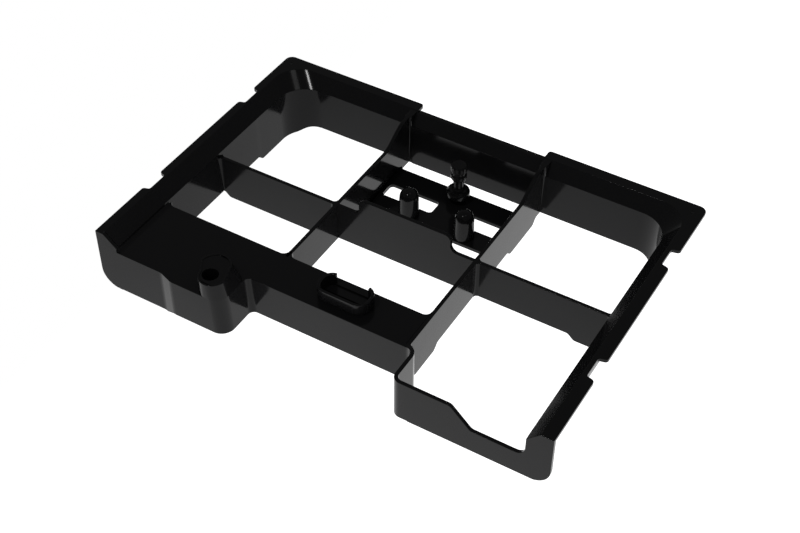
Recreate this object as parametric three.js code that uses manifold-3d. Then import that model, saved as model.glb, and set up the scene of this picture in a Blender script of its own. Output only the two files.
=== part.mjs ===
// Moulded equipment tray: the chassis frame of a hobby-robot kit.
//
// One thin-walled plastic moulding, drawn here as its separate walls, rims, ribs, deck, tray, posts and
// bosses, plus the one fitted piece: a spool-shaped buffer stud.
// Millimetres, +Z up, long side along X, open front towards -Y, origin under the middle of the part.

import * as THREE from 'three';
import { mergeVertices } from 'three/addons/utils/BufferGeometryUtils.js';
import Module from 'manifold-3d';

const wasm = await Module();
wasm.setup();

// ---- driving dimensions ----------------------------------------------------------------------------

const WALL = 2.5;              // thickness of every moulded wall
const REAR = 107.1;            // outer edge of the rear flange
const FRONT = -106.8;          // front face of the bulge, the frontmost face

const ARCH_TOP = 44;           // raised middle of the cross rib, the highest face
const FLANGE_TOP = 43.2;       // top of the rim flange
const FLANGE_BOTTOM = FLANGE_TOP - WALL;
const LIP_TOP = 42;            // top of the flared lip where the rear flange is missing
const FLARE_START = 35;        // where the walls start to lean outwards
const RIM_SPLIT = 34;          // height where the upright walls end and the rim begins
const RIB_TOP = 32;            // top of the ribs and of the front deck
const RAISED = 4;              // most lower edges stand this high; only the feet reach the ground
const CENTRE_BOTTOM = 3;       // lower edge of the rear wall's middle stretch

const SIDES = {                // distances from the middle plane; edge is the outer edge of the flange
  left: { sign: -1, inner: 139.8, flange: 148.8, under: 149.9, notch: 150.4, edge: 154.7 },
  right: { sign: 1, inner: 139.6, flange: 147.4, under: 148.5, notch: 150.6, edge: 155.8 },
};
const REAR_RIM = { inner: 91.6, flange: 99.4, under: 100.5 };
const CORNER = { inner: 20, outer: 22.5, flange: 19, under: 21, edge: 5 };   // plan radii at the rear
const CORNER_STEPS = 8;

const RIB_X = 49.8;            // middle plane of the two long ribs, either side of the middle
const CROSS = { front: 1.9, rear: 4.4 };     // faces of the cross rib
const GAP_X = 46.7;            // half of the gap in the rear flange
const NOTCHES = [[-56.5, -40.2], [46.3, 62.3]];   // cut-outs in both side flanges, along Y
const NOTCH_RADIUS = 2.4;

const DECK_REAR = -52;
const MID_FRONT = -79.9;       // outer face of the middle stretch of the front
const PLATE_FRONT = -103.5;    // outer face of the left end plate
const RIGHT_FRONT = -106.4;    // outer face of the front-right wall
const PLATE_END = -108.8;      // where the left end plate meets the bulge
const RETURN_X = -59.4;        // outer face of the wall that runs back from the bulge
const MID_SPLIT = -46;         // joint between the bulge wall and the middle wall
const BAY_X = 55.2;            // outer face of the front-right bay's side wall
const BAY_TOP = 33.7;          // top of the front-right bay's walls
const BAY_SPLIT = 66;          // joint between the bay's side wall and its front wall
const END_RADIUS = 12;         // rounded lower corner of both front plates

const TRAY = { front: 35.4, rear: 79.8, bottom: RAISED, top: 6.8, fillet: 3 };   // fillet: against the ribs
const TRAY_SLOT = { near: 8.5, far: 45.5, front: 50.7, rear: 62.9, radius: 2.5 };
const POST = { x: 20.4, y: 43, foot: 6.9, radius: 6.3, top: 27.4, dome: 6 };   // foot: radius at the tray
const STUD = { x: 0, y: 71.8, foot: 5.4, flange: 7.8, flangeBottom: 11, flangeTop: 16.6, top: 36.4 };
const TOWER = {                // four corner circles per level, from the rear right: x, y and radius
  top: [[-74.9, -90.5, 10], [-74.9, -90.5, 10], [-70.9, -98.1, 9], [-70.9, -98.1, 9]],
  base: [[-65.7, -86.5, 5.5], [-73.6, -90.5, 10], [-70.9, -98.1, 9], [-69.2, -98.1, 9]],
  bore: { x: -72.8, y: -97.8, radius: 5.1 },
};
const SCREW_BOSS = { radius: 4.8, bore: 1.7, sink: 4.2 };   // sink: the hole through the deck above it
const SOCKET = {
  x: 0.2, y: -65.1, half: [17.7, 8.9], round: 7.5, wall: 2.2, mouth: 11.2, sill: 33.2, top: 40.4,
};
const ROUND = 32;              // sides of the round pieces

// ---- materials -------------------------------------------------------------------------------------

const mouldedPlastic = new THREE.MeshStandardMaterial({ color: 0x0b0b0c, roughness: 0.25, metalness: 0 });
const studPlastic = new THREE.MeshStandardMaterial({ color: 0x0d0d0e, roughness: 0.35, metalness: 0 });

// ---- building closed solids ------------------------------------------------------------------------

const group = new THREE.Group();

function add(name, geometry, material = mouldedPlastic) {
  const mesh = new THREE.Mesh(geometry, material);
  mesh.name = name;
  group.add(mesh);
}

// A geometry with shared vertices, turned so that its faces point outwards.
function closed(points, triangles) {
  let volume = 0;
  for (const [a, b, c] of triangles) {
    const [p, q, r] = [a, b, c].map((i) => new THREE.Vector3(...points[i]));
    volume += p.dot(q.cross(r));
  }
  const faces = volume < 0 ? triangles.map(([a, b, c]) => [a, c, b]) : triangles;
  const geometry = new THREE.BufferGeometry();
  geometry.setAttribute('position', new THREE.Float32BufferAttribute(points.flat(), 3));
  geometry.setIndex(faces.flat());
  return geometry;
}

// Triangles that fill an outline, wound the same way as the outline itself.
function capTriangles(outline) {
  const shape = outline.map(([a, b]) => new THREE.Vector2(a, b));
  const turnsBack = THREE.ShapeUtils.isClockWise(shape);
  return THREE.ShapeUtils.triangulateShape(shape, []).map(([a, b, c]) => {
    const clockwise = THREE.ShapeUtils.isClockWise([shape[a], shape[b], shape[c]]);
    return clockwise === turnsBack ? [a, b, c] : [a, c, b];
  });
}

// Skins a row of rings that all have the same number of points. outline is one ring in its own plane.
function loft(rings, outline) {
  const count = outline.length;
  const points = rings.flat();
  const triangles = [];
  for (let ring = 0; ring + 1 < rings.length; ring += 1) {
    for (let i = 0; i < count; i += 1) {
      const next = (i + 1) % count;
      const [a, b, c, d] = [i, next, count + next, count + i].map((k) => ring * count + k);
      triangles.push([a, b, c], [a, c, d]);
    }
  }
  const last = (rings.length - 1) * count;
  for (const [a, b, c] of capTriangles(outline)) {
    triangles.push([a, c, b], [last + a, last + b, last + c]);
  }
  return closed(points, triangles);
}

// Prisms along each axis. The outline is given in the other two axes, in alphabetical order.
const along = {
  x: (outline, from, to) => loft([from, to].map((x) => outline.map(([y, z]) => [x, y, z])), outline),
  y: (outline, from, to) => loft([from, to].map((y) => outline.map(([x, z]) => [x, y, z])), outline),
  z: (outline, from, to) => loft([from, to].map((z) => outline.map(([x, y]) => [x, y, z])), outline),
};

function box([x0, x1], [y0, y1], [z0, z1]) {
  return along.z([[x0, y0], [x1, y0], [x1, y1], [x0, y1]], z0, z1);
}

function arc(x, y, radius, from, to, steps) {
  return Array.from({ length: steps + 1 }, (_, i) => {
    const angle = THREE.MathUtils.degToRad(from + ((to - from) * i) / steps);
    return [x + radius * Math.cos(angle), y + radius * Math.sin(angle)];
  });
}

// An outline whose corners are rounded. Each corner is [a, b, radius]; no radius leaves it sharp.
function rounded(corners, steps = 6) {
  return corners.flatMap(([x, y, radius = 0], i) => {
    if (!radius) return [[x, y]];
    const corner = new THREE.Vector2(x, y);
    const before = new THREE.Vector2(...corners.at(i - 1)).sub(corner).normalize();
    const after = new THREE.Vector2(...corners[(i + 1) % corners.length]).sub(corner).normalize();
    const half = before.angleTo(after) / 2;
    const middle = before.clone().add(after).normalize().multiplyScalar(radius / Math.sin(half)).add(corner);
    const reach = radius / Math.tan(half);
    const start = corner.clone().addScaledVector(before, reach).sub(middle);
    const end = corner.clone().addScaledVector(after, reach).sub(middle);
    const turn = Math.atan2(start.cross(end), start.dot(end));
    return Array.from({ length: steps + 1 }, (_, k) => {
      const spoke = start.clone().rotateAround(new THREE.Vector2(), (turn * k) / steps);
      return [middle.x + spoke.x, middle.y + spoke.y];
    });
  });
}

function circle(x, y, radius) {
  return arc(x, y, radius, 0, 360, ROUND).slice(0, -1);
}

function lathe(x, y, profile) {
  const outline = profile.map(([radius, z]) => new THREE.Vector2(radius, z));
  const geometry = new THREE.LatheGeometry(outline, ROUND);
  geometry.deleteAttribute('normal');
  geometry.deleteAttribute('uv');
  geometry.rotateX(Math.PI / 2);
  geometry.translate(x, y, 0);
  return fromManifold(toManifold(geometry));
}

function toManifold(geometry) {
  const merged = mergeVertices(geometry, 1e-4);
  const index = merged.getIndex().array;
  const triangles = [];
  for (let i = 0; i < index.length; i += 3) {
    const [a, b, c] = index.slice(i, i + 3);
    if (a !== b && b !== c && c !== a) triangles.push(a, b, c);
  }
  const mesh = new wasm.Mesh({
    numProp: 3,
    vertProperties: Float32Array.from(merged.getAttribute('position').array),
    triVerts: Uint32Array.from(triangles),
  });
  return new wasm.Manifold(mesh);
}

function fromManifold(solid) {
  const mesh = solid.getMesh();
  const geometry = new THREE.BufferGeometry();
  geometry.setAttribute('position', new THREE.Float32BufferAttribute(mesh.vertProperties, 3));
  geometry.setIndex(Array.from(mesh.triVerts));
  return geometry;
}

function cut(geometry, ...tools) {
  return fromManifold(tools.reduce((solid, tool) => solid.subtract(toManifold(tool)), toManifold(geometry)));
}

// ---- lower edges with feet -------------------------------------------------------------------------

const FOOT_RAMP = 5;           // length of the slope from the raised edge down to a foot

// The lower edge from one end to the other as [position, height] pairs, with feet that reach the ground.
function lowerEdge(from, to, feet) {
  const line = [[from, footAt(from, feet)]];
  for (const [start, end] of feet) {
    for (const at of [start - FOOT_RAMP, start, end, end + FOOT_RAMP]) {
      if (at > from && at < to) line.push([at, footAt(at, feet)]);
    }
  }
  line.push([to, footAt(to, feet)]);
  return line;
}

function footAt(position, feet) {
  const inside = feet.some(([start, end]) => position >= start && position <= end);
  return inside ? 0 : RAISED;
}

// ---- upright walls of the perimeter ----------------------------------------------------------------

// The plan position of one profile point round a rear corner, from the side stretch to the rear one.
function cornerPoint(side, across, back, radius, fraction) {
  const angle = (fraction * Math.PI) / 2;
  const x = across - radius + radius * Math.cos(angle);
  return [side.sign * x, back - radius + radius * Math.sin(angle)];
}

function cornerFractions() {
  return Array.from({ length: CORNER_STEPS + 1 }, (_, i) => i / CORNER_STEPS);
}

function uprightRing([innerX, innerY], [outerX, outerY], bottom, top) {
  return [[innerX, innerY, bottom], [outerX, outerY, bottom], [outerX, outerY, top], [innerX, innerY, top]];
}

const UPRIGHT_OUTLINE = [[0, 0], [1, 0], [1, 1], [0, 1]];

function sideWall(side, front, foot) {
  const inner = side.sign * side.inner;
  const outer = side.sign * (side.inner + WALL);
  const cornerStart = REAR_RIM.inner - CORNER.inner;
  const rings = lowerEdge(front, cornerStart - 1, [foot]).map(([y, z]) => (
    uprightRing([inner, y], [outer, y], z, RIM_SPLIT)));
  for (const fraction of cornerFractions()) {
    const a = cornerPoint(side, side.inner, REAR_RIM.inner, CORNER.inner, fraction);
    const b = cornerPoint(side, side.inner + WALL, REAR_RIM.inner + WALL, CORNER.outer, fraction);
    rings.push(uprightRing(a, b, footAt(a[1], [foot]), RIM_SPLIT));
  }
  return loft(rings, UPRIGHT_OUTLINE);
}

const SIDE_FOOT = [47.3, 82.4];
const CORNER_END = { left: -SIDES.left.inner + CORNER.inner, right: SIDES.right.inner - CORNER.inner };

add('left_wall', sideWall(SIDES.left, PLATE_FRONT + WALL, SIDE_FOOT));
add('right_wall', sideWall(SIDES.right, RIGHT_FRONT + WALL, SIDE_FOOT));

const rearWallY = [REAR_RIM.inner, REAR_RIM.inner + WALL];
add('rear_left_wall', box([CORNER_END.left, -RIB_X], rearWallY, [RAISED, RIM_SPLIT]));
add('rear_centre_wall', box([-RIB_X, RIB_X], rearWallY, [CENTRE_BOTTOM, RIM_SPLIT]));
add('rear_right_wall', box([RIB_X, CORNER_END.right], rearWallY, [RAISED, RIM_SPLIT]));

// ---- flared rim with its flange --------------------------------------------------------------------

// The seven corners of the rim section, as a distance across, a plan radius and a height.
function rimSection(side, edge) {
  return [
    { across: side.inner, back: REAR_RIM.inner, radius: CORNER.inner, z: RIM_SPLIT },
    { across: side.inner, back: REAR_RIM.inner, radius: CORNER.inner, z: FLARE_START },
    { across: side.flange, back: REAR_RIM.flange, radius: CORNER.flange, z: FLANGE_TOP },
    { across: edge, back: REAR, radius: CORNER.edge, z: FLANGE_TOP },
    { across: edge, back: REAR, radius: CORNER.edge, z: FLANGE_BOTTOM },
    { across: side.under, back: REAR_RIM.under, radius: CORNER.under, z: FLANGE_BOTTOM },
    { across: side.inner + WALL, back: REAR_RIM.inner + WALL, radius: CORNER.outer, z: RIM_SPLIT },
  ];
}

// How far out the flange reaches at a place along the side: full width, less in a notch.
function notchStations(side) {
  const reach = side.edge - side.notch;
  const radius = Math.min(NOTCH_RADIUS, reach / 2);
  const stations = [];
  for (const [start, end] of NOTCHES) {
    const outer = arc(0, 0, radius, 90, 0, 4).map(([x, y]) => [x - radius, side.edge - radius + y]);
    const inner = arc(0, 0, radius, 180, 270, 4).map(([x, y]) => [x + radius, side.notch + radius + y]);
    const edge = [...outer, ...inner.slice(outer.at(-1)[1] === inner[0][1] ? 1 : 0)];
    stations.push(...edge.map(([y, x]) => [start + y, x]));
    stations.push(...edge.map(([y, x]) => [end - y, x]).reverse());
  }
  return stations;
}

function sideRim(side, front) {
  const stations = [[front, side.edge], ...notchStations(side)];
  const rings = stations.map(([y, edge]) => (
    rimSection(side, edge).map((point) => [side.sign * point.across, y, point.z])));
  for (const fraction of cornerFractions()) {
    rings.push(rimSection(side, side.edge).map((point) => (
      [...cornerPoint(side, point.across, point.back, point.radius, fraction), point.z])));
  }
  const end = side.sign * (side.inner - CORNER.inner - 2);
  rings.push(rimSection(side, side.edge).map((point) => [end, point.back, point.z]));
  return { geometry: loft(rings, rimSection(side, side.edge).map((p) => [p.across, p.z])), end };
}

function rearRim(side, from) {
  const radius = NOTCH_RADIUS;
  const ends = arc(GAP_X + radius, REAR - radius, radius, 90, 180, 4);
  const stations = [[side.sign * from, REAR], ...ends];
  const rings = stations.map(([x, edge]) => (
    rimSection(side, side.edge).map((point) => {
      const back = point.back === REAR ? edge : point.back;
      return [side.sign * x, back, point.z];
    })));
  return loft(rings, rimSection(side, side.edge).map((p) => [p.back, p.z]));
}

const leftRim = sideRim(SIDES.left, PLATE_FRONT + WALL);
const rightRim = sideRim(SIDES.right, RIGHT_FRONT + WALL);
add('left_rim', leftRim.geometry);
add('right_rim', rightRim.geometry);
add('rear_left_rim', rearRim(SIDES.left, leftRim.end));
add('rear_right_rim', rearRim(SIDES.right, rightRim.end));

const rearSlope = (REAR_RIM.flange - REAR_RIM.inner) / (FLANGE_TOP - FLARE_START);
const lipInner = REAR_RIM.inner + rearSlope * (LIP_TOP - FLARE_START);
const lipOuter = REAR_RIM.under + rearSlope * (LIP_TOP - FLANGE_BOTTOM);
add('rear_centre_lip', along.x([
  [REAR_RIM.inner, RIM_SPLIT], [REAR_RIM.inner, FLARE_START], [lipInner, LIP_TOP],
  [lipOuter, LIP_TOP], [REAR_RIM.inner + WALL, RIM_SPLIT],
], -GAP_X, GAP_X));

// ---- front walls -----------------------------------------------------------------------------------

const left = SIDES.left;
const right = SIDES.right;
const DECK_BOTTOM = RIB_TOP - WALL;

add('front_left_plate', along.y(rounded([
  [-left.edge, FLANGE_TOP], [-left.flange, FLANGE_TOP], [-left.inner, FLARE_START],
  [-left.inner, DECK_BOTTOM], [PLATE_END, DECK_BOTTOM], [PLATE_END, 0],
  [-left.edge, 0, END_RADIUS],
]), PLATE_FRONT, PLATE_FRONT + WALL));

// A route in plan with rounded corners, each [x, y, radius], as stations with the wall's direction.
function route(corners) {
  const line = rounded(corners.map(([x, y, r], i) => (
    i === 0 || i === corners.length - 1 ? [x, y] : [x, y, r])));
  return line.map(([x, y], i) => {
    const before = new THREE.Vector2(...line[Math.max(i - 1, 0)]);
    const after = new THREE.Vector2(...line[Math.min(i + 1, line.length - 1)]);
    const here = new THREE.Vector2(x, y);
    const came = here.clone().sub(before).normalize();
    const goes = after.clone().sub(here).normalize();
    const both = came.clone().add(goes).normalize();
    const stretch = came.length() && goes.length() ? 1 / both.dot(came) : 1;
    return { x, y, inX: -both.y * stretch, inY: both.x * stretch };
  });
}

// A wall of constant thickness to the left of its route, seen along the way.
function routedWall(corners, bottom, top) {
  const stations = route(corners);
  const rings = stations.map(({ x, y, inX, inY }) => (
    uprightRing([x + WALL * inX, y + WALL * inY], [x, y], bottom(x, y), top(x, y))));
  return loft(rings, UPRIGHT_OUTLINE);
}

const BULGE_ROUTE = [
  [PLATE_END, PLATE_FRONT], [-105, PLATE_FRONT, 8], [-99, FRONT, 8], [RETURN_X, FRONT, 8],
  [RETURN_X, MID_FRONT, 4], [MID_SPLIT, MID_FRONT],
];
add('front_bulge_wall', routedWall(BULGE_ROUTE, () => RAISED, () => DECK_BOTTOM));

const midWallY = [MID_FRONT, MID_FRONT + WALL];
const ribLeft = RIB_X - WALL / 2;
const ribRight = RIB_X + WALL / 2;
add('front_middle_wall', box([MID_SPLIT, ribLeft], midWallY, [RAISED, DECK_BOTTOM]));

const RIB_END = -74;           // where the right long rib turns into the bay's side wall
const BAY_ROUTE = [
  [ribLeft, RIB_END], [ribLeft, MID_FRONT], [BAY_X, MID_FRONT, 6], [BAY_X, RIGHT_FRONT, 6],
  [BAY_SPLIT, RIGHT_FRONT],
];

// The bay's side wall is as high as the rib where it starts and rises over its bend.
function bayTop(x) {
  return THREE.MathUtils.mapLinear(Math.min(x, BAY_X), ribLeft, BAY_X, RIB_TOP, BAY_TOP);
}

add('bay_side_wall', routedWall(BAY_ROUTE, () => RAISED, bayTop));

add('front_right_wall', along.y(rounded([
  [BAY_SPLIT, RAISED], [BAY_SPLIT, BAY_TOP], [93.3, BAY_TOP, 4], [106.6, 20.6, 4],
  [right.inner, 20.6, 6], [right.inner, FLARE_START], [right.flange, FLANGE_TOP],
  [right.edge, FLANGE_TOP], [right.edge, RAISED, END_RADIUS],
]), RIGHT_FRONT, RIGHT_FRONT + WALL));

// ---- front deck and what hangs below it ------------------------------------------------------------

const frontEdge = route(BULGE_ROUTE).map(({ x, y }) => [x, y]);
const deckPlate = along.z([
  [-left.inner, DECK_REAR], [-left.inner, PLATE_FRONT], ...frontEdge,
  [ribLeft, MID_FRONT], [ribLeft, DECK_REAR],
], DECK_BOTTOM, RIB_TOP);
add('front_deck', cut(deckPlate, along.z(circle(TOWER.bore.x, TOWER.bore.y, SCREW_BOSS.sink), 0, ARCH_TOP)));
add('deck_back_wall', box([-left.inner, ribLeft], [DECK_REAR - WALL, DECK_REAR], [RAISED, DECK_BOTTOM]));
add('under_deck_rib', box([-ribRight, -ribLeft], [MID_FRONT + WALL, DECK_REAR - WALL],
  [RAISED, DECK_BOTTOM]));
add('screw_boss', cut(
  along.z(circle(TOWER.bore.x, TOWER.bore.y, SCREW_BOSS.radius), RAISED, DECK_BOTTOM),
  along.z(circle(TOWER.bore.x, TOWER.bore.y, SCREW_BOSS.bore), 0, RIB_TOP),
));

// ---- screw tower and oval socket on the deck -------------------------------------------------------

// The tower's outline in plan, flush with the bulge in front.
function towerOutline(corners) {
  return corners.flatMap(([x, y, radius], i) => arc(x, y, radius, 90 * i, 90 * (i + 1), ROUND / 4));
}

const towerLevels = [[TOWER.base, RIB_TOP], [TOWER.top, FLANGE_TOP]];
add('screw_tower', cut(
  loft(towerLevels.map(([level, z]) => towerOutline(level).map(([x, y]) => [x, y, z])),
    towerOutline(TOWER.base)),
  along.z(circle(TOWER.bore.x, TOWER.bore.y, TOWER.bore.radius), 0, ARCH_TOP),
));

// The socket's outline in plan, drawn in from its outer face.
function socketOutline(inset) {
  const [across, back] = SOCKET.half.map((half) => half - inset);
  return rounded([[1, -1], [1, 1], [-1, 1], [-1, -1]].map(([x, y]) => (
    [SOCKET.x + x * across, SOCKET.y + y * back, SOCKET.round - inset])));
}

const socketRing = along.z(socketOutline(0), RIB_TOP, SOCKET.top);
const socketHollow = along.z(socketOutline(SOCKET.wall), RIB_TOP - 1, SOCKET.top + 1);
const socketMouth = box([SOCKET.x - SOCKET.mouth, SOCKET.x + SOCKET.mouth], [SOCKET.y, DECK_REAR],
  [SOCKET.sill, SOCKET.top + 1]);
add('oval_socket', cut(socketRing, socketHollow, socketMouth));

// ---- ribs ------------------------------------------------------------------------------------------

const RIB_RISE = { from: 60, to: 87, top: 42.6 };    // both long ribs climb to the rear rim

// The S-shaped climb of a long rib's top, as [y, z] pairs from front to back.
function ribClimb() {
  const steps = 8;
  return Array.from({ length: steps + 1 }, (_, i) => {
    const share = (1 - Math.cos((Math.PI * i) / steps)) / 2;
    const y = THREE.MathUtils.lerp(RIB_RISE.from, RIB_RISE.to, i / steps);
    return [y, THREE.MathUtils.lerp(RIB_TOP, RIB_RISE.top, share)];
  });
}

const CLEARANCE = 0.3;         // left where a rib follows the slope of the rim

function longRib(front, feet) {
  const slopeY = (z) => REAR_RIM.inner + rearSlope * (z - FLARE_START) - CLEARANCE;
  return [
    ...lowerEdge(front, REAR_RIM.inner, feet),
    [REAR_RIM.inner, FLARE_START + CLEARANCE / rearSlope],
    [slopeY(RIB_RISE.top), RIB_RISE.top],
    ...ribClimb().reverse(),
    [front, RIB_TOP],
  ];
}

add('long_rib_left', along.x(longRib(DECK_REAR, []), -ribRight, -ribLeft));
add('long_rib_right', along.x(longRib(RIB_END, [[-70, -49.3], [50.4, 79.9]]), ribLeft, ribRight));

function crossRib(from, to, feet, top) {
  return along.y([...lowerEdge(from, to, feet), ...top], CROSS.front, CROSS.rear);
}

const ARCH = { half: 32.8, round: 4.5 };   // the raised middle of the cross rib
add('cross_rib_left', crossRib(-left.inner, -ribRight, [[-133.2, -60]],
  [[-ribRight, RIB_TOP], [-left.inner, RIB_TOP]]));
add('cross_rib_centre', along.y(rounded([
  [-ribLeft, RAISED], [ribLeft, RAISED], [ribLeft, RIB_TOP],
  [ARCH.half, RIB_TOP, ARCH.round], [ARCH.half, ARCH_TOP, ARCH.round],
  [-ARCH.half, ARCH_TOP, ARCH.round], [-ARCH.half, RIB_TOP, ARCH.round], [-ribLeft, RIB_TOP],
]), CROSS.front, CROSS.rear));
add('cross_rib_right', crossRib(ribRight, right.inner, [[119.4, right.inner]],
  [[right.inner, RIB_TOP], [ribRight, RIB_TOP]]));

// ---- slotted tray with its posts and the buffer stud -----------------------------------------------

const trayCorners = [[1, TRAY.rear, 0], [-1, TRAY.rear, -90], [-1, TRAY.front, 180], [1, TRAY.front, 90]];
const trayPlate = along.z(trayCorners.flatMap(([side, y, start]) => (
  arc(side * (ribLeft - TRAY.fillet), y + (y === TRAY.rear ? 1 : -1) * TRAY.fillet, TRAY.fillet,
    start, start - 90, 6))), TRAY.bottom, TRAY.top);
const traySlots = [-1, 1].map((side) => along.z(rounded([
  [side * TRAY_SLOT.near, TRAY_SLOT.front, TRAY_SLOT.radius],
  [side * TRAY_SLOT.far, TRAY_SLOT.front, TRAY_SLOT.radius],
  [side * TRAY_SLOT.far, TRAY_SLOT.rear, TRAY_SLOT.radius],
  [side * TRAY_SLOT.near, TRAY_SLOT.rear, TRAY_SLOT.radius],
]), 0, FLANGE_TOP));
add('slotted_tray', cut(trayPlate, ...traySlots));

function domedPost(x) {
  const shoulder = POST.top - POST.dome;
  const dome = arc(POST.radius - POST.dome, shoulder, POST.dome, 0, 90, 6);
  return lathe(x, POST.y, [[0, TRAY.top], [POST.foot, TRAY.top], ...dome, [0, POST.top]]);
}

add('post_left', domedPost(-POST.x));
add('post_right', domedPost(POST.x));

add('stud_boss', lathe(STUD.x, STUD.y, [
  [0, TRAY.top], [STUD.foot, TRAY.top], [STUD.foot, STUD.flangeBottom], [STUD.flange, STUD.flangeBottom],
  [STUD.flange, STUD.flangeTop - 2.2], [STUD.flange - 0.6, STUD.flangeTop - 0.8],
  [STUD.flange - 1.8, STUD.flangeTop], [0, STUD.flangeTop],
]));
add('buffer_stud', lathe(STUD.x, STUD.y, [
  [0, STUD.flangeTop], [4.4, STUD.flangeTop], [3.5, 17.6], [3.4, 24], [4.6, 24.8], [5.3, 26], [5.3, 28.4],
  [4.5, 29.2], [4.5, 31], [5.3, 31.8], [5.3, 35.6], [4.7, STUD.top], [0, STUD.top],
]), studPlastic);

export default group;
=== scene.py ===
"""Looks of the moulded equipment tray: one glossy black moulding and its buffer stud.

Lengths of the part are millimetres until a mesh is made; the studio and the camera are in metres. The
meshes stand where the CAD nodes stand.
"""
import math

import bmesh
import bpy
from mathutils import Euler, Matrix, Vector
from mathutils.geometry import tessellate_polygon


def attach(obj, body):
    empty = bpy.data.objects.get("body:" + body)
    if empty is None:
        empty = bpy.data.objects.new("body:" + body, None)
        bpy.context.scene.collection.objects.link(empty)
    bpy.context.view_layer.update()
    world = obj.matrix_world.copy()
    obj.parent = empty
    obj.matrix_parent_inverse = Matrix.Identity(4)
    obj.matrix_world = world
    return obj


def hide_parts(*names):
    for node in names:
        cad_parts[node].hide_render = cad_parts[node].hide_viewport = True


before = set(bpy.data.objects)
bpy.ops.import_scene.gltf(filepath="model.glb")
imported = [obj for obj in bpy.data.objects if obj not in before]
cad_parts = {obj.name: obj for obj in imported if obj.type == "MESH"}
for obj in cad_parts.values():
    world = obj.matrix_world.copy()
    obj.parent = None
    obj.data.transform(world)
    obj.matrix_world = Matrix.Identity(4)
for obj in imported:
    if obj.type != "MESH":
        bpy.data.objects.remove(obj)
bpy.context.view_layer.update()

MM = 0.001

# ---- dimensions --------------------------------------------------------------------------------------
# Nearly all are those of the CAD model. The walls are drafted here, which moves RETURN_X, and the flare
# of the right rim reaches 0.3 mm further out. Notch corners and the slopes of the feet differ a little.

WALL = 2.5
REAR = 107.1
FRONT = -106.8
ARCH_TOP = 44
FLANGE_TOP = 43.2
FLANGE_BOTTOM = FLANGE_TOP - WALL
LIP_TOP = 42
FLARE_START = 35
OUTER_FLARE_START = 34
RIB_TOP = 32
DECK_BOTTOM = RIB_TOP - WALL
RAISED = 4
CENTRE_BOTTOM = 3

LEFT = {"sign": -1, "inner": 139.8, "flange": 148.8, "under": 149.9, "notch": 150.4, "edge": 154.7}
RIGHT = {"sign": 1, "inner": 139.6, "flange": 147.7, "under": 148.8, "notch": 150.6, "edge": 155.8}
REAR_INNER, REAR_FLANGE, REAR_UNDER = 91.6, 99.4, 100.5
SIDE_DRAFT, REAR_DRAFT = 1.5, 0.7     # how far the foot of each wall stands further in
NOTCHES = [(-56.5, -40.2), (46.3, 62.3)]
NOTCH_RADIUS = 2.2
INNER_ROUND, FLANGE_ROUND, EDGE_ROUND, UNDER_ROUND, OUTER_ROUND = 20, 19, 5, 21, 22.5   # rear corners
GAP_X = 46.7

RIB_X = 49.8
CROSS_FRONT, CROSS_REAR = 1.9, 4.4
DECK_REAR = -52
MID_FRONT = -79.9
PLATE_FRONT = -103.5
RIGHT_FRONT = -106.4
RETURN_X = -58.6
RETURN_DRAFT = 1.6
BAY_X = 55.2
BAY_TOP = 33.7
BAY_SPLIT = 66
END_RADIUS = 12
SIDE_FOOT = (47.3, 82.4)

TRAY = {"fillet": 3, "front": 35.4, "rear": 79.8, "bottom": RAISED, "top": 6.8}
SLOT = {"near": 8.5, "far": 45.5, "front": 50.7, "rear": 62.9, "round": 2.5}
POST = {"x": 20.4, "y": 43, "foot": 6.9, "radius": 6.3, "top": 27.4, "dome": 6}
STUD = {"x": 0, "y": 71.8, "foot": 5.4, "flange": 7.8, "flange_bottom": 11, "flange_top": 16.6,
        "top": 36.4}
TOWER = {      # four corner circles per level, from the rear right
    "top": [(-74.9, -90.5, 10), (-74.9, -90.5, 10), (-70.9, -98.1, 9), (-70.9, -98.1, 9)],
    "base": [(-65.7, -86.5, 5.5), (-73.6, -90.5, 10), (-70.9, -98.1, 9), (-69.2, -98.1, 9)],
    "bore": 5.1, "at": (-72.8, -97.8),
}
SOCKET = {"x": 0.2, "y": -65.1, "half": (17.7, 8.9), "round": 7.5, "wall": 2.2, "mouth": 11.2,
          "sill": 33.2, "top": 40.4}

EDGE = 0.42          # rounding of the moulding's edges
SOFT_BEND = 0.45     # share of that rounding where the wall bends into the flare
SHARP = math.radians(28)
NEAR = 0.01          # tolerance where an edge is known by its place
SUNK = 0.5           # how far a piece reaches into the face that it stands on


# ---- plan curves -------------------------------------------------------------------------------------

def arc(x, y, radius, start, end, steps=12):
    angles = [math.radians(start + (end - start) * i / steps) for i in range(steps + 1)]
    return [(x + radius * math.cos(a), y + radius * math.sin(a)) for a in angles]


def rounded(corners, steps=10, open_ends=False):
    """The outline through corners (a, b, radius), with each corner rounded."""
    line = []
    for i, (x, y, *radius) in enumerate(corners):
        if not radius or (open_ends and i in (0, len(corners) - 1)):
            line.append((x, y))
            continue
        corner = Vector((x, y))
        before = (Vector(corners[i - 1][:2]) - corner).normalized()
        after = (Vector(corners[(i + 1) % len(corners)][:2]) - corner).normalized()
        half = before.angle(after) / 2
        middle = corner + (before + after).normalized() * (radius[0] / math.sin(half))
        start = corner + before * (radius[0] / math.tan(half)) - middle
        end = corner + after * (radius[0] / math.tan(half)) - middle
        turn = math.atan2(start.x * end.y - start.y * end.x, start.dot(end))
        for k in range(steps + 1):
            a = turn * k / steps
            line.append((middle.x + start.x * math.cos(a) - start.y * math.sin(a),
                         middle.y + start.x * math.sin(a) + start.y * math.cos(a)))
    return line


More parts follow.
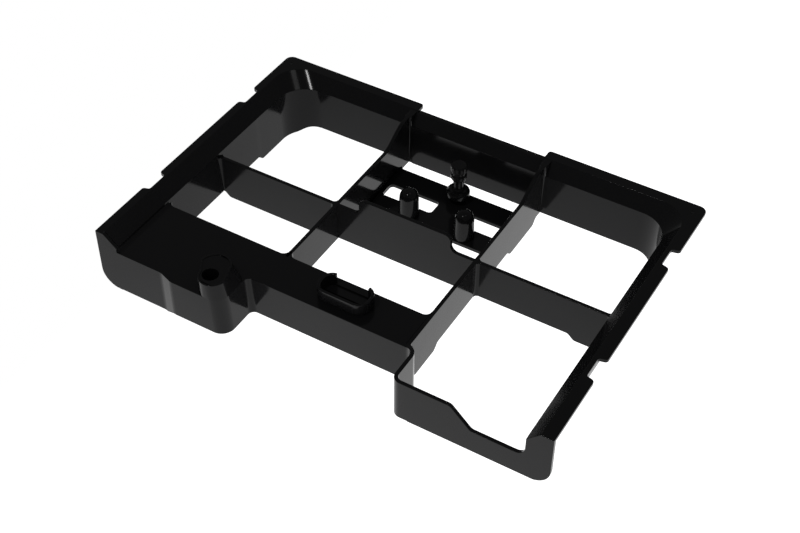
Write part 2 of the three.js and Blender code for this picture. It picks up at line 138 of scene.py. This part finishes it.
def offset(line, distance):
    """The line moved to its left by distance, as (point, offset point) pairs."""
    pairs = []
    for i, (x, y) in enumerate(line):
        here = Vector((x, y))
        came = here - Vector(line[max(i - 1, 0)])
        goes = Vector(line[min(i + 1, len(line) - 1)]) - here
        units = [v.normalized() for v in (came, goes) if v.length > 1e-9]
        both = sum(units, Vector((0, 0))).normalized()
        stretch = 1 / both.dot(units[0])
        pairs.append(((x, y), (x - both.y * distance * stretch, y + both.x * distance * stretch)))
    return pairs


def smooth(share):
    share = min(max(share, 0), 1)
    return share * share * (3 - 2 * share)


def foot_height(at, feet, ramp=6):
    """The height of a lower edge that stands raised except on its feet."""
    height = RAISED
    for start, end in feet:
        height = min(height, RAISED * smooth(max(start - at, at - end, 0) / ramp))
    return height


def foot_stations(start, end, feet, ramp=6):
    stations = {start, end}
    for low, high in feet:
        for i in range(7):
            stations |= {low - ramp * i / 6, high + ramp * i / 6}
    return sorted(s for s in stations if start <= s <= end)


# ---- meshes ------------------------------------------------------------------------------------------

def finish_piece(name, mesh, nodes, material, edge, weight_of):
    """Rounds the edges of a closed mesh, and lets it stand for its CAD nodes."""
    bmesh.ops.remove_doubles(mesh, verts=mesh.verts, dist=1e-4)
    bmesh.ops.recalc_face_normals(mesh, faces=mesh.faces)
    weights = mesh.edges.layers.float.new("bevel_weight_edge")
    for e in mesh.edges:
        if len(e.link_faces) == 2 and e.calc_face_angle(0) > SHARP:
            middle = (e.verts[0].co + e.verts[1].co) / 2
            e[weights] = weight_of(*middle) if weight_of else 1
            e.smooth = e[weights] > 0
    for face in mesh.faces:
        face.smooth = True
    bmesh.ops.scale(mesh, vec=(MM, MM, MM), verts=mesh.verts)
    data = bpy.data.meshes.new(name)
    mesh.to_mesh(data)
    mesh.free()
    data.materials.append(material)
    piece = bpy.data.objects.new(name, data)
    bpy.context.scene.collection.objects.link(piece)
    bevel = piece.modifiers.new("edges", "BEVEL")
    bevel.limit_method = "WEIGHT"
    bevel.width = edge * MM
    bevel.segments = 3
    bevel.harden_normals = True
    bevel.use_clamp_overlap = False
    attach(piece, "root")
    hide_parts(*nodes)
    return piece


def loft(name, rings, nodes, edge=EDGE, weight_of=None):
    """A closed skin over rings that all have the same number of points."""
    mesh = bmesh.new()
    rows = [[mesh.verts.new(p) for p in ring] for ring in rings]
    for row, following in zip(rows, rows[1:]):
        for i in range(len(row)):
            j = (i + 1) % len(row)
            mesh.faces.new((row[i], row[j], following[j], following[i]))
    mesh.faces.new(rows[0][::-1])
    mesh.faces.new(rows[-1])
    return finish_piece(name, mesh, nodes, moulded, edge, weight_of)


AXES = {
    "x": lambda at, a, b: (at, a, b),
    "y": lambda at, a, b: (a, at, b),
    "z": lambda at, a, b: (a, b, at),
}


def slab(name, outlines, axis, low, high, nodes, edge=EDGE, weight_of=None, far_outlines=None):
    """A plate with holes: the first outline is its rim, the others are holes. The far end may differ."""
    place = AXES[axis]
    mesh = bmesh.new()
    layers = [[[mesh.verts.new(place(at, *p)) for p in line] for line in ends]
              for at, ends in ((low, outlines), (high, far_outlines or outlines))]
    for loops, ends in zip(layers, (outlines, far_outlines or outlines)):
        verts = [v for line in loops for v in line]
        flat = [[Vector((a, b, 0)) for a, b in line] for line in ends]
        for triangle in tessellate_polygon(flat):
            mesh.faces.new([verts[i] for i in triangle])
    for bottom, top in zip(*layers):
        for i in range(len(bottom)):
            j = (i + 1) % len(bottom)
            mesh.faces.new((bottom[i], bottom[j], top[j], top[i]))
    return finish_piece(name, mesh, nodes, moulded, edge, weight_of)


def lathe(name, x, y, profile, nodes, material, edge=EDGE, steps=48):
    """A turned piece: profile is (radius, height) from the axis and back to it."""
    mesh = bmesh.new()
    ends = [mesh.verts.new((x, y, profile[k][1])) for k in (0, -1)]
    rings = [[mesh.verts.new((x + r * math.cos(a), y + r * math.sin(a), z))
              for a in (2 * math.pi * i / steps for i in range(steps))]
             for r, z in profile[1:-1]]
    for i in range(steps):
        j = (i + 1) % steps
        mesh.faces.new((ends[0], rings[0][j], rings[0][i]))
        mesh.faces.new((ends[1], rings[-1][i], rings[-1][j]))
        for row, following in zip(rings, rings[1:]):
            mesh.faces.new((row[i], row[j], following[j], following[i]))
    return finish_piece(name, mesh, nodes, material, edge, None)


# ---- materials ---------------------------------------------------------------------------------------

def plastic(name, shade, gloss, grain):
    """Black moulded plastic: slightly uneven gloss, faint flow lines, fine grain and a little dust."""
    material = bpy.data.materials.new(name)
    material.use_nodes = True
    nodes, links = material.node_tree.nodes, material.node_tree.links
    shader = nodes["Principled BSDF"]
    where = nodes.new("ShaderNodeTexCoord").outputs["Object"]

    def noise(scale, detail, stretch=(1, 1, 1)):
        mapping = nodes.new("ShaderNodeMapping")
        mapping.inputs["Scale"].default_value = stretch
        links.new(where, mapping.inputs["Vector"])
        texture = nodes.new("ShaderNodeTexNoise")
        texture.inputs["Scale"].default_value = scale
        texture.inputs["Detail"].default_value = detail
        links.new(mapping.outputs["Vector"], texture.inputs["Vector"])
        return texture.outputs["Fac"]

    def span(value, low, high, to_low, to_high):
        node = nodes.new("ShaderNodeMapRange")
        for key, number in (("From Min", low), ("From Max", high), ("To Min", to_low), ("To Max", to_high)):
            node.inputs[key].default_value = number
        links.new(value, node.inputs["Value"])
        return node.outputs["Result"]

    def combine(operation, a, b):
        node = nodes.new("ShaderNodeMath")
        node.operation = operation
        links.new(a, node.inputs[0])
        links.new(b, node.inputs[1])
        return node.outputs[0]

    dust = span(noise(1400, 3), 0.70, 0.80, 0, 1)
    patches = noise(22, 4)
    flow = noise(60, 3, (0.25, 1, 2.5))
    colour = nodes.new("ShaderNodeValToRGB")
    colour.color_ramp.elements[0].color = (shade, shade, shade * 1.06, 1)
    colour.color_ramp.elements[1].color = (shade * 3, shade * 3, shade * 3, 1)
    links.new(combine("MULTIPLY", dust, span(patches, 0.45, 0.65, 0.05, 0.4)), colour.inputs["Fac"])
    links.new(colour.outputs["Color"], shader.inputs["Base Color"])
    uneven = combine("ADD", span(patches, 0.3, 0.7, gloss * 0.75, gloss * 1.15),
                     span(flow, 0.35, 0.7, -0.01, 0.02))
    links.new(combine("ADD", uneven, span(dust, 0, 1, 0, 0.08)), shader.inputs["Roughness"])
    waves = nodes.new("ShaderNodeBump")
    waves.inputs["Strength"].default_value = 0.05
    waves.inputs["Distance"].default_value = 0.0012
    links.new(noise(38, 1), waves.inputs["Height"])
    fine = nodes.new("ShaderNodeBump")
    fine.inputs["Strength"].default_value = grain
    fine.inputs["Distance"].default_value = 0.00004
    links.new(noise(2600, 2), fine.inputs["Height"])
    links.new(waves.outputs["Normal"], fine.inputs["Normal"])
    links.new(fine.outputs["Normal"], shader.inputs["Normal"])
    shader.inputs["IOR"].default_value = 1.22
    return material


moulded = plastic("moulded_black", 0.009, 0.12, 0.03)
turned = plastic("stud_black", 0.008, 0.22, 0.1)


# ---- perimeter: walls, flare and flange --------------------------------------------------------------

def flange_edge(side, y):
    """How far out the side flange reaches at y: full width, less in a notch."""
    deep = side["edge"] - side["notch"]
    radius = min(NOTCH_RADIUS, deep / 2)
    for start, end in NOTCHES:
        inside = min(y - start, end - y)
        if inside > radius:
            return side["notch"]
        if inside > 0:
            return side["notch"] + radius - math.sqrt(radius ** 2 - (radius - inside) ** 2)
        if inside > -radius:
            return side["edge"] - radius + math.sqrt(radius ** 2 - (radius + inside) ** 2)
    return side["edge"]


def notch_stations():
    stations = []
    for start, end in NOTCHES:
        for i in range(17):
            step = -NOTCH_RADIUS * math.cos(math.pi * i / 16)
            stations += [start + step, end - step]
    return stations


def rim_section(side, edge, rear_edge=REAR):
    """The section's corners: across, to the rear, plan radius, and height or None at the foot."""
    outer, rear_outer = side["inner"] + WALL, REAR_INNER + WALL
    return [
        (side["inner"] - SIDE_DRAFT, REAR_INNER - REAR_DRAFT, INNER_ROUND, None),
        (side["inner"], REAR_INNER, INNER_ROUND, FLARE_START),
        (side["flange"], REAR_FLANGE, FLANGE_ROUND, FLANGE_TOP),
        (edge, rear_edge, EDGE_ROUND, FLANGE_TOP), (edge, rear_edge, EDGE_ROUND, FLANGE_BOTTOM),
        (side["under"], REAR_UNDER, UNDER_ROUND, FLANGE_BOTTOM),
        (outer, rear_outer, OUTER_ROUND, OUTER_FLARE_START),
        (outer - SIDE_DRAFT, rear_outer - REAR_DRAFT, OUTER_ROUND, None),
    ]


CORNER_RAMP = 9       # length along Y of a foot's slope in the rounded corner
CORNER_END = 116      # the first section along the rear wall past the rounded corner


def perimeter(name, side, front, nodes):
    """One side from its front end round the rear corner to the gap in the rear flange."""
    sign, feet = side["sign"], [SIDE_FOOT]
    corner_start = REAR_INNER - INNER_ROUND
    straight = sorted(set(foot_stations(front, corner_start - 1, feet))
                      | {y for y in notch_stations() if front < y < corner_start - 1})
    rings = []
    for y in straight:
        rings.append([(sign * across, y, foot_height(y, feet) if z is None else z)
                      for across, _, _, z in rim_section(side, flange_edge(side, y))])
    for i in range(25):
        angle = math.pi / 2 * i / 24
        ring = []
        for across, back, radius, z in rim_section(side, side["edge"]):
            y = back - radius + radius * math.sin(angle)
            height = foot_height(y, feet, CORNER_RAMP) if z is None else z
            ring.append((sign * (across - radius + radius * math.cos(angle)), y, height))
        rings.append(ring)
    end = NOTCH_RADIUS
    for x, edge in [(CORNER_END, REAR)] + arc(GAP_X + end, REAR - end, end, 90, 180, 8):
        rings.append([(sign * x, back, RAISED if z is None else z)
                      for _, back, _, z in rim_section(side, side["edge"], edge)])

    def weight_of(x, y, z):
        if abs(y - front) < NEAR or (abs(abs(x) - GAP_X) < NEAR and y < REAR_UNDER and z < LIP_TOP):
            return 0
        inner_edge = z > FLANGE_TOP - NEAR and abs(x) < side["flange"] + NEAR and y < REAR_FLANGE + NEAR
        return SOFT_BEND if inner_edge or abs(z - FLARE_START) < NEAR else 1

    return loft(name, rings, nodes, weight_of=weight_of)


perimeter("left_perimeter", LEFT, PLATE_FRONT + WALL,
          ["left_wall", "left_rim", "rear_left_wall", "rear_left_rim"])
perimeter("right_perimeter", RIGHT, RIGHT_FRONT + WALL,
          ["right_wall", "right_rim", "rear_right_wall", "rear_right_rim"])

rear_slope = (REAR_FLANGE - REAR_INNER) / (FLANGE_TOP - FLARE_START)
lip_inner = REAR_INNER + rear_slope * (LIP_TOP - FLARE_START)
lip_outer = REAR_UNDER + rear_slope * (LIP_TOP - FLANGE_BOTTOM)
slab("rear_centre_perimeter", [[
    (REAR_INNER, CENTRE_BOTTOM), (REAR_INNER, FLARE_START), (lip_inner, LIP_TOP), (lip_outer, LIP_TOP),
    (REAR_INNER + WALL, OUTER_FLARE_START), (REAR_INNER + WALL, CENTRE_BOTTOM),
]], "x", -GAP_X, GAP_X, ["rear_centre_wall", "rear_centre_lip"],
    weight_of=lambda x, y, z: 0 if abs(abs(x) - GAP_X) < NEAR
    else SOFT_BEND if abs(z - FLARE_START) < NEAR else 1)

# ---- front walls -------------------------------------------------------------------------------------

PLATE_X = -LEFT["inner"]
RIB_RIGHT_OUTER = RIB_X - WALL / 2
RIB_END = MID_FRONT + 1

slab("front_left_corner", [rounded([
    (-LEFT["edge"], FLANGE_TOP), (-LEFT["flange"], FLANGE_TOP), (PLATE_X, FLARE_START), (PLATE_X, 0),
    (-LEFT["edge"], 0, END_RADIUS),
], 14)], "y", PLATE_FRONT, PLATE_FRONT + WALL, ["front_left_plate"],
    weight_of=lambda x, y, z: 0 if (abs(x - PLATE_X) < NEAR and z < RIB_TOP)
    or (y > PLATE_FRONT + 2.4 and (z > FLANGE_BOTTOM or x > PLATE_X - WALL)) else 1)

APRON_FOOT, APRON_RAMP = -104, 7      # right end of the foot under the plate, and its slope
BEND = {"start": -106.4, "end": -97, "round": 10}     # the S-bend from the plate to the bulge
RETURN_ROUND, BAY_ROUND = 4, 6
MID_END = 44                          # seam between the middle wall and the bay's side wall
UNDER_TOWER = {"right_of": -77, "in_front_of": -87}   # where the tower stands on the apron's top edge


def apron_line(return_x):
    """The outer face in plan: plate, S-bend, bulge with its rounded corner, return and middle wall."""
    return rounded([
        (PLATE_X, PLATE_FRONT), (BEND["start"], PLATE_FRONT, BEND["round"]),
        (BEND["end"], FRONT, BEND["round"]), (return_x, FRONT, TOWER["base"][3][2]),
        (return_x, MID_FRONT, RETURN_ROUND), (MID_END, MID_FRONT),
    ], 14, open_ends=True)


def apron_bottom(x):
    return RAISED * smooth((x - APRON_FOOT) / APRON_RAMP)


def dense(line):
    return [Vector(a).lerp(Vector(b), i / 20) for a, b in zip(line, line[1:]) for i in range(21)]


def is_apron_edge(x, y, z):
    """Whether a sharp edge shows: not at the ends, behind the deck's rim or under the tower."""
    if abs(x - PLATE_X) < NEAR or abs(x - MID_END) < NEAR:
        return 0
    if z < RIB_TOP - NEAR:
        return 1
    if y < UNDER_TOWER["in_front_of"] and x > UNDER_TOWER["right_of"]:
        return 0
    here = Vector((x, y))
    from_outer, from_inner = (min((here - Vector(p)).length for p in line) for line in (
        dense(apron_top), dense(apron_inner)))
    return 1 if from_outer < from_inner else 0


apron_foot = offset(apron_line(RETURN_X), WALL)
apron_top = apron_line(RETURN_X - RETURN_DRAFT)
apron_inner = [inner for _, inner in offset(apron_top, WALL)]
loft("front_apron", [
    [(*low_in, apron_bottom(low_out[0])), (*low_out, apron_bottom(low_out[0])),
     (*high_out, RIB_TOP), (*high_in, RIB_TOP)]
    for (low_out, low_in), high_out, high_in in zip(apron_foot, apron_top, apron_inner)
], ["front_bulge_wall", "front_middle_wall"], weight_of=is_apron_edge)

bay = rounded([
    (MID_END, MID_FRONT), (BAY_X, MID_FRONT, BAY_ROUND), (BAY_X, RIGHT_FRONT, BAY_ROUND),
    (BAY_SPLIT, RIGHT_FRONT),
], 12, open_ends=True)


def bay_top(x):
    return RIB_TOP + (BAY_TOP - RIB_TOP) * smooth((x - RIB_RIGHT_OUTER) / (BAY_X - RIB_RIGHT_OUTER))


loft("bay_side_wall", [
    [(*inner, RAISED), (*outer, RAISED), (*outer, bay_top(outer[0])), (*inner, bay_top(outer[0]))]
    for outer, inner in offset(bay, WALL)
], ["bay_side_wall"],
    weight_of=lambda x, y, z: 0 if abs(x - BAY_SPLIT) < NEAR or abs(x - MID_END) < NEAR
    or (z > RAISED + 1 and y > MID_FRONT + 2 and x < RIB_RIGHT_OUTER) else 1)

SLOPE_START, SLOPE_END, LOW_TOP = 93.3, 106.6, 20.6    # the wall's top edge comes down to the right
slab("front_right_wall", [rounded([
    (BAY_SPLIT, RAISED), (BAY_SPLIT, BAY_TOP), (SLOPE_START, BAY_TOP, 4), (SLOPE_END, LOW_TOP, 4),
    (RIGHT["inner"], LOW_TOP, 6), (RIGHT["inner"], FLARE_START), (RIGHT["flange"], FLANGE_TOP),
    (RIGHT["edge"], FLANGE_TOP), (RIGHT["edge"], RAISED, END_RADIUS),
], 14)], "y", RIGHT_FRONT, RIGHT_FRONT + WALL, ["front_right_wall"],
    weight_of=lambda x, y, z: 0 if abs(x - BAY_SPLIT) < NEAR
    or (y > RIGHT_FRONT + 2.4 and (z > FLANGE_BOTTOM or (x > RIGHT["inner"] - NEAR and z > 25))) else 1)

# ---- front deck, with the screw tower and the oval socket --------------------------------------------

CORNER = 4.2         # plan rounding where the deck's rear edge meets a wall
SCREW_SINK, SCREW_BOSS, SCREW_BORE = 4.2, 4.8, 1.7     # radii: hole in the deck, boss, screw hole
RIB_LEFT_FACES = (-RIB_X - WALL / 2, -RIB_X + WALL / 2)
deck_rear_edge = [
    *arc(RIB_RIGHT_OUTER - CORNER, DECK_REAR + CORNER, CORNER, 0, -90, 8),
    *arc(RIB_LEFT_FACES[1] + CORNER, DECK_REAR + CORNER, CORNER, -90, -180, 8),
    *arc(RIB_LEFT_FACES[0] - CORNER, DECK_REAR + CORNER, CORNER, 0, -90, 8),
    *arc(PLATE_X + CORNER, DECK_REAR + CORNER, CORNER, -90, -180, 8),
]
bore = arc(*TOWER["at"], TOWER["bore"], 0, 360, 36)[:-1]
sink = arc(*TOWER["at"], SCREW_SINK, 0, 360, 36)[:-1]
deck_outline = deck_rear_edge + apron_inner[:-1] + [(RIB_RIGHT_OUTER, MID_FRONT + WALL)]
slab("front_deck", [deck_outline, sink], "z", DECK_BOTTOM, RIB_TOP, ["front_deck"],
     weight_of=lambda x, y, z: 1 if y > DECK_REAR - 0.2 and z > RIB_TOP - 0.1
     and abs(abs(x) - RIB_X) > 1.4 else 0)

DECK_FILLET = 3      # rounding where the deck meets the left wall
slab("deck_fillet", [[(PLATE_X - SUNK, RIB_TOP - SUNK), (PLATE_X + DECK_FILLET + 1, RIB_TOP - SUNK)]
                     + arc(PLATE_X + DECK_FILLET, RIB_TOP + DECK_FILLET, DECK_FILLET, 270, 180, 12)
                     + [(PLATE_X - SUNK, RIB_TOP + DECK_FILLET)]],
     "y", PLATE_FRONT + 1, DECK_REAR, [], weight_of=lambda x, y, z: 0)
slab("deck_back_wall", [deck_rear_edge + [(PLATE_X, DECK_REAR - WALL), (RIB_RIGHT_OUTER, DECK_REAR - WALL)]],
     "z", RAISED, DECK_BOTTOM, ["deck_back_wall"], weight_of=lambda x, y, z: 1 if z < RAISED + 0.1 else 0)
slab("under_deck_rib", [[
    (RIB_LEFT_FACES[0], RIB_END), (RIB_LEFT_FACES[1], RIB_END),
    (RIB_LEFT_FACES[1], DECK_REAR - 1), (RIB_LEFT_FACES[0], DECK_REAR - 1)]],
     "z", RAISED, DECK_BOTTOM, ["under_deck_rib"])
slab("screw_boss", [arc(*TOWER["at"], SCREW_BOSS, 0, 360, 36)[:-1],
                    arc(*TOWER["at"], SCREW_BORE, 0, 360, 24)[:-1]],
     "z", RAISED, DECK_BOTTOM, ["screw_boss"])


def tower_outline(level, inset):
    """The tower's outline in plan, flush with the bulge in front."""
    line = []
    for i, (x, y, radius) in enumerate(TOWER[level]):
        line += arc(x, y, radius - inset, 90 * i, 90 * i + 90, 12)
    return line


RIM, RECESS = 1.3, 0.5       # the tower's top face lies a little below its rim
base = [tower_outline("base", inset) for inset in (0, RIM)]
top = [tower_outline("top", inset) for inset in (0, RIM, RIM - 0.1)]
slab("screw_tower_wall", base, "z", RIB_TOP, FLANGE_TOP, [], far_outlines=top[:2],
     weight_of=lambda x, y, z: 1 if z > RIB_TOP + 1 else 0)
slab("screw_tower", [base[1], bore], "z", RIB_TOP, FLANGE_TOP - RECESS, ["screw_tower"],
     far_outlines=[top[2], bore], edge=0.2,
     weight_of=lambda x, y, z: 1 if z > RIB_TOP + 1 and math.dist((x, y), TOWER["at"]) < 6 else 0)


def socket_outline(inset):
    across, back = (half - inset for half in SOCKET["half"])
    return rounded([(SOCKET["x"] + sx * across, SOCKET["y"] + sy * back, SOCKET["round"] - inset)
                    for sx, sy in ((1, -1), (1, 1), (-1, 1), (-1, -1))], 12)


def socket_wall():
    """The C-shaped upper wall, open at the back between its two lugs."""
    outer, inner = socket_outline(0), socket_outline(SOCKET["wall"])
    start, end = (SOCKET["x"] + s * SOCKET["mouth"] for s in (1, -1))
    back = SOCKET["y"] + SOCKET["half"][1]

    def part(line, y):
        kept = [p for p in line if not (p[1] > SOCKET["y"] and end < p[0] < start)]
        split = next(i for i, (a, b) in enumerate(zip(kept, kept[1:]))
                     if b[0] < 0 < a[0] and a[1] > SOCKET["y"])
        return [(end, y)] + kept[split + 1:] + kept[:split + 1] + [(start, y)]

    return part(outer, back) + part(inner, back - SOCKET["wall"])[::-1]


slab("oval_socket", [socket_wall()], "z", RIB_TOP - SUNK, SOCKET["top"], ["oval_socket"], edge=0.5)
SILL_HALF = 12
sill_left, sill_right = SOCKET["x"] - SILL_HALF, SOCKET["x"] + SILL_HALF
sill_rear = SOCKET["y"] + SOCKET["half"][1]
sill_front = sill_rear - SOCKET["wall"]
slab("oval_socket_sill", [[(sill_left, sill_front), (sill_right, sill_front),
                           (sill_right, sill_rear), (sill_left, sill_rear)]],
     "z", RIB_TOP - SUNK, SOCKET["sill"], [], edge=0.3)

# ---- ribs --------------------------------------------------------------------------------------------

FILLET, REAR_FILLET, FRONT_FILLET = 2.6, 1.2, 2       # plan rounding where a rib runs into a wall
CROSS_TOP = RIB_TOP - 0.01                            # so that its top and the long ribs' do not coincide


def flare(distance, radius):
    """How much a rib widens on each side at a distance from the wall that it runs into."""
    if distance >= radius:
        return 0
    return radius - math.sqrt(radius ** 2 - (radius - max(distance, 0)) ** 2)


def fillet_steps(at, direction, radius):
    return [at + direction * radius * (1 - math.cos(math.pi / 2 * i / 8)) for i in range(9)]


RISE_FROM, RISE_TO, RISE_TOP = 60, 87, 42.6


def long_rib_top(y):
    share = min(max((y - RISE_FROM) / (RISE_TO - RISE_FROM), 0), 1)
    return RIB_TOP + (RISE_TOP - RIB_TOP) * (1 - math.cos(math.pi * share)) / 2


def long_rib(name, x, front, feet, nodes):
    """A divider along Y. Its rear end lies against the rear wall and follows the wall's flare."""
    stations = sorted(set(foot_stations(front, REAR_INNER, feet))
                      | set(fillet_steps(REAR_INNER, -1, REAR_FILLET))
                      | {y for y in fillet_steps(MID_FRONT + WALL, 1, FRONT_FILLET) if y > front}
                      | {RISE_FROM + (RISE_TO - RISE_FROM) * i / 20 for i in range(21)})
    bend = (FLARE_START - RAISED) / (RISE_TOP - RAISED)
    rings = []
    for y in stations + [REAR_INNER + 1]:
        half = WALL / 2 + flare(REAR_INNER - y, REAR_FILLET)
        right = half + flare(y - MID_FRONT - WALL, FRONT_FILLET)
        low, high = foot_height(y, feet), long_rib_top(y)
        middle = low + (high - low) * bend
        lean = 0 if y < REAR_INNER else rear_slope * (high - FLARE_START)
        rings.append([(x - half, y, low), (x + right, y, low), (x + right, y, middle),
                      (x + right, y + lean, high), (x - half, y + lean, high), (x - half, y, middle)])
    return loft(name, rings, nodes, weight_of=lambda a, b, c: 0 if abs(b - front) < NEAR else 1)


long_rib("long_rib_left", -RIB_X, DECK_REAR - 1, [], ["long_rib_left"])
long_rib("long_rib_right", RIB_X, RIB_END, [(-70, -49.3), (50.4, 79.9)], ["long_rib_right"])


def cross_rib(name, start, end, feet, nodes):
    """A low rib along X. It runs 1 mm into the wall or rib at each of its ends."""
    stations = sorted(set(foot_stations(start, end, feet)) | set(fillet_steps(start, 1, FILLET))
                      | set(fillet_steps(end, -1, FILLET)))
    middle = (CROSS_FRONT + CROSS_REAR) / 2
    rings = []
    for x in [start - 1] + stations + [end + 1]:
        half = WALL / 2 + flare(min(x - start, end - x), FILLET)
        low = foot_height(min(max(x, start), end), feet)
        rings.append([(x, middle - half, low), (x, middle + half, low),
                      (x, middle + half, CROSS_TOP), (x, middle - half, CROSS_TOP)])
    return loft(name, rings, nodes)


cross_rib("cross_rib_left", PLATE_X, RIB_LEFT_FACES[0], [(-133.2, -60)], ["cross_rib_left"])
cross_rib("cross_rib_right", RIB_X + WALL / 2, RIGHT["inner"], [(119.4, RIGHT["inner"])], ["cross_rib_right"])

ARCH_HALF, ARCH_ROUND = 32.8, 4.5
slab("cross_rib_centre", [rounded([
    (-RIB_X, RAISED), (RIB_X, RAISED), (RIB_X, CROSS_TOP), (ARCH_HALF, CROSS_TOP, ARCH_ROUND),
    (ARCH_HALF, ARCH_TOP, ARCH_ROUND), (-ARCH_HALF, ARCH_TOP, ARCH_ROUND),
    (-ARCH_HALF, CROSS_TOP, ARCH_ROUND), (-RIB_X, CROSS_TOP),
], 14)], "y", CROSS_FRONT, CROSS_REAR, ["cross_rib_centre"])

# ---- slotted tray with its posts and the buffer stud -------------------------------------------------

slots = [rounded([(side * SLOT[x], SLOT[y], SLOT["round"])
                  for x, y in (("near", "front"), ("far", "front"), ("far", "rear"), ("near", "rear"))])
         for side in (-1, 1)]
tray_edge = []       # its four corners run out along the ribs in fillets
for side, y, way, start in ((1, TRAY["rear"], 1, 0), (-1, TRAY["rear"], 1, -90),
                            (-1, TRAY["front"], -1, 180), (1, TRAY["front"], -1, 90)):
    tray_edge += arc(side * (RIB_RIGHT_OUTER - TRAY["fillet"]), y + way * TRAY["fillet"], TRAY["fillet"],
                     start, start - 90, 8)
slab("slotted_tray", [tray_edge, *slots], "z", TRAY["bottom"], TRAY["top"], ["slotted_tray"])

post_dome = arc(POST["radius"] - POST["dome"], POST["top"] - POST["dome"], POST["dome"], 0, 90, 10)
for name, side in (("post_left", -1), ("post_right", 1)):
    lathe(name, side * POST["x"], POST["y"],
          [(0, TRAY["top"] - SUNK), (POST["foot"], TRAY["top"] - SUNK), *post_dome, (0, POST["top"])],
          [name], moulded)
lathe("stud_boss", STUD["x"], STUD["y"], [
    (0, TRAY["top"] - SUNK), (STUD["foot"], TRAY["top"] - SUNK),
    (STUD["foot"], STUD["flange_bottom"]), (STUD["flange"], STUD["flange_bottom"]),
    (STUD["flange"], 14.2), (STUD["flange"] - 0.4, 15.2), (STUD["flange"] - 1.1, 15.5),
    (STUD["flange"] - 1.3, 16.2), (STUD["flange"] - 2, STUD["flange_top"]), (0, STUD["flange_top"]),
], ["stud_boss"], moulded)
lathe("buffer_stud", STUD["x"], STUD["y"], [
    (0, STUD["flange_top"]), (4.4, STUD["flange_top"]), (3.5, 17.6), (3.4, 24), (4.6, 24.8),
    (5.3, 26), (5.3, 28.4), (4.5, 29.2), (4.5, 31), (5.3, 31.8), (5.3, 35.6),
    (4.7, STUD["top"]), (0, STUD["top"]),
], ["buffer_stud"], turned, edge=0.25)

# ---- small marks of the mould ------------------------------------------------------------------------

MARK_Y, MARK_RADIUS, DISH_RADIUS = 99.4, 1.7, 1.1
mark_rim, mark_dish = FLANGE_TOP + 0.12, FLANGE_TOP + 0.02
for name, x in (("ejector_mark_left", -148.4), ("ejector_mark_right", 148.6)):
    lathe(name, x, MARK_Y,
          [(0, FLANGE_TOP - 1), (MARK_RADIUS, FLANGE_TOP - 1), (MARK_RADIUS, mark_rim),
           (DISH_RADIUS, mark_rim), (DISH_RADIUS - 0.2, mark_dish), (0, mark_dish)],
          [], moulded, edge=0.05, steps=32)

# ---- studio ------------------------------------------------------------------------------------------

def emitter(name, axis, low, high, stops, strength=1):
    """A pale surface lit from within, so that no shadow falls on it. Its light changes along an axis."""
    material = bpy.data.materials.new(name)
    material.use_nodes = True
    nodes, links = material.node_tree.nodes, material.node_tree.links
    shader = nodes["Principled BSDF"]
    shader.inputs["Base Color"].default_value = (0.0, 0.0, 0.0, 1)
    shader.inputs["Roughness"].default_value = 1
    shader.inputs["Specular IOR Level"].default_value = 0
    shader.inputs["Emission Strength"].default_value = strength
    where = nodes.new("ShaderNodeTexCoord").outputs["Object"]
    parts = nodes.new("ShaderNodeSeparateXYZ")
    links.new(where, parts.inputs[0])
    ramp = nodes.new("ShaderNodeValToRGB")
    elements = ramp.color_ramp.elements
    elements[0].color, elements[1].color = (low, low, low, 1), (high, high, high, 1)
    share = nodes.new("ShaderNodeMapRange")
    share.inputs["From Min"].default_value, share.inputs["From Max"].default_value = stops
    links.new(parts.outputs[axis], share.inputs["Value"])
    links.new(share.outputs["Result"], ramp.inputs["Fac"])
    links.new(ramp.outputs["Color"], shader.inputs["Emission Color"])
    return material


def stage_piece(name, mesh, material):
    data = bpy.data.meshes.new(name)
    mesh.to_mesh(data)
    mesh.free()
    for polygon in data.polygons:
        polygon.use_smooth = True
    data.materials.append(material)
    thing = bpy.data.objects.new(name, data)
    bpy.context.scene.collection.objects.link(thing)
    return thing


FLOOR_LIGHT = 1.38
DOME_RADIUS = 5
floor_mesh = bmesh.new()
bmesh.ops.create_circle(floor_mesh, cap_ends=True, segments=96, radius=DOME_RADIUS)
stage_piece("floor", floor_mesh, emitter("floor_white", "X", 1 / FLOOR_LIGHT, 1, (-0.15, -0.03), FLOOR_LIGHT))
dome_mesh = bmesh.new()
bmesh.ops.create_uvsphere(dome_mesh, u_segments=64, v_segments=48, radius=1)
dome = stage_piece("studio_dome", dome_mesh, emitter("dome_shade", "Z", 0.35, 0.16, (0.05, 0.28)))
dome.scale = (DOME_RADIUS, DOME_RADIUS, DOME_RADIUS)


def softbox(name, place, size, power):
    light = bpy.data.lights.new(name, "AREA")
    light.shape = "RECTANGLE"
    light.size, light.size_y = size
    light.energy = power
    thing = bpy.data.objects.new(name, light)
    thing.location = place
    thing.rotation_euler = (-Vector(place)).to_track_quat("-Z", "Y").to_euler()
    bpy.context.scene.collection.objects.link(thing)


softbox("front_light", (-0.33, -0.80, 1.82), (0.15, 0.15), 4)
softbox("top_light", (0.41, -0.05, 1.96), (0.3, 0.3), 0.6)

# ---- camera ------------------------------------------------------------------------------------------

camera_data = bpy.data.cameras.new("camera")
camera_data.sensor_width = 36
camera_data.lens = 64.1
camera = bpy.data.objects.new("camera", camera_data)
camera.location = (0.32535, -0.55484, 0.62700)
camera.rotation_euler = Euler([math.radians(a) for a in (45.937, -0.316, 30.804)])
bpy.context.scene.collection.objects.link(camera)
bpy.context.scene.camera = camera
bpy.context.scene.view_settings.view_transform = "Standard"
